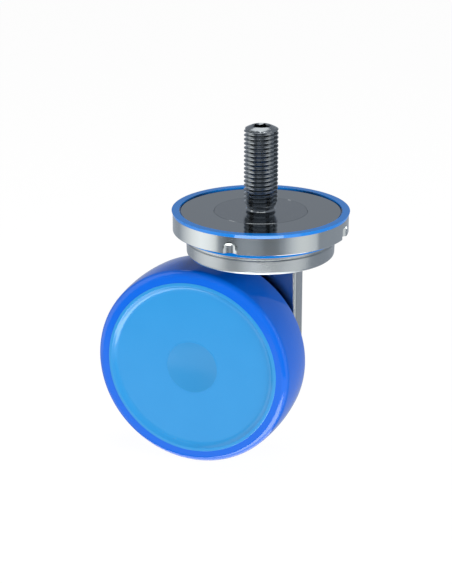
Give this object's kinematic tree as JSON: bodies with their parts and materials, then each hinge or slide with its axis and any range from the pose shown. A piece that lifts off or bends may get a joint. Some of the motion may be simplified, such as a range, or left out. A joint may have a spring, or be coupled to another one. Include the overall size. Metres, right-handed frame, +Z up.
{
  "type": "castor wheel",
  "caption": "Swivel castor with a threaded stem, a sealed round head with a notched clamp ring, a single-arm fork and a closed wheel with a moulded tyre.",
  "frame": {"origin": "on the swivel axis, at the mounting face, the flat top of the plate that is drawn up against the machine", "axes": "+Z up along the threaded stem, +X the rolling direction with the wheel trailing towards -X, +Y along the axle towards the fork's arm"},
  "size_m": [0.1524, 0.106, 0.213],
  "materials": {
    "dark_steel": "dark polished",
    "plate_steel": "mirror polished",
    "ring_steel": "polished, turned",
    "fork_steel": "fine satin, cast and ground",
    "seal_rubber": "satin blue",
    "black_rubber": "satin",
    "bearing_steel": "ground",
    "ball_steel": "polished",
    "cage_brass": "machined",
    "fastener_steel": "bright",
    "spring_steel": "dark oiled",
    "tyre_blue": "gloss blue polyurethane",
    "hub_blue": "light blue, moulded"
  },
  "bodies": {
    "head": {"stem": "dark_steel", "top_plate": "plate_steel", "clamp_ring": "ring_steel", "top_seal": "seal_rubber", "thrust_washer_upper": "bearing_steel", "king_bearing_inner": "bearing_steel", "lock_washer": "fastener_steel", "lock_nut": "fastener_steel"},
    "fork": {"fork": "fork_steel", "thrust_washer_lower": "bearing_steel", "king_bearing_outer": "bearing_steel", "lip_seal": "seal_rubber", "bottom_cover": "ring_steel", "axle": "bearing_steel", "bearing_spacer": "bearing_steel", "circlip": "spring_steel", "axle_washer": "fastener_steel", "axle_nut": "fastener_steel", "near_bearing_inner": "bearing_steel", "far_bearing_inner": "bearing_steel"},
    "wheel": {"tyre": "tyre_blue", "hub": "hub_blue", "hub_cap": "hub_blue", "shaft_seal": "black_rubber", "near_bearing_outer": "bearing_steel", "far_bearing_outer": "bearing_steel"},
    "thrust_race": {"thrust_balls": "ball_steel", "thrust_cage": "cage_brass"},
    "king_race": {"king_bearing_balls": "ball_steel", "king_bearing_cage": "cage_brass"},
    "wheel_races": {"near_bearing_balls": "ball_steel", "far_bearing_balls": "ball_steel", "near_bearing_cage": "cage_brass", "far_bearing_cage": "cage_brass"}
  },
  "joints": [
    {"name": "swivel", "type": "hinge", "parent": "head", "child": "fork", "pos_m": [0, 0, 0], "axis": [0, 0, 1], "continuous": true},
    {"name": "wheel_roll", "type": "hinge", "parent": "fork", "child": "wheel", "pos_m": [-0.0375, 0, -0.0985], "axis": [0, 1, 0], "continuous": true},
    {"name": "thrust_race_turn", "type": "hinge", "parent": "head", "child": "thrust_race", "pos_m": [0, 0, 0], "axis": [0, 0, 1], "continuous": true},
    {"name": "king_race_turn", "type": "hinge", "parent": "head", "child": "king_race", "pos_m": [0, 0, 0], "axis": [0, 0, 1], "continuous": true},
    {"name": "wheel_races_turn", "type": "hinge", "parent": "fork", "child": "wheel_races", "pos_m": [-0.0375, 0, -0.0985], "axis": [0, 1, 0], "continuous": true}
  ],
  "couplings": [
    {"joint": "thrust_race_turn", "follows": "swivel", "ratio": 0.5},
    {"joint": "king_race_turn", "follows": "swivel", "ratio": 0.5821},
    {"joint": "wheel_races_turn", "follows": "wheel_roll", "ratio": 0.6}
  ]
}
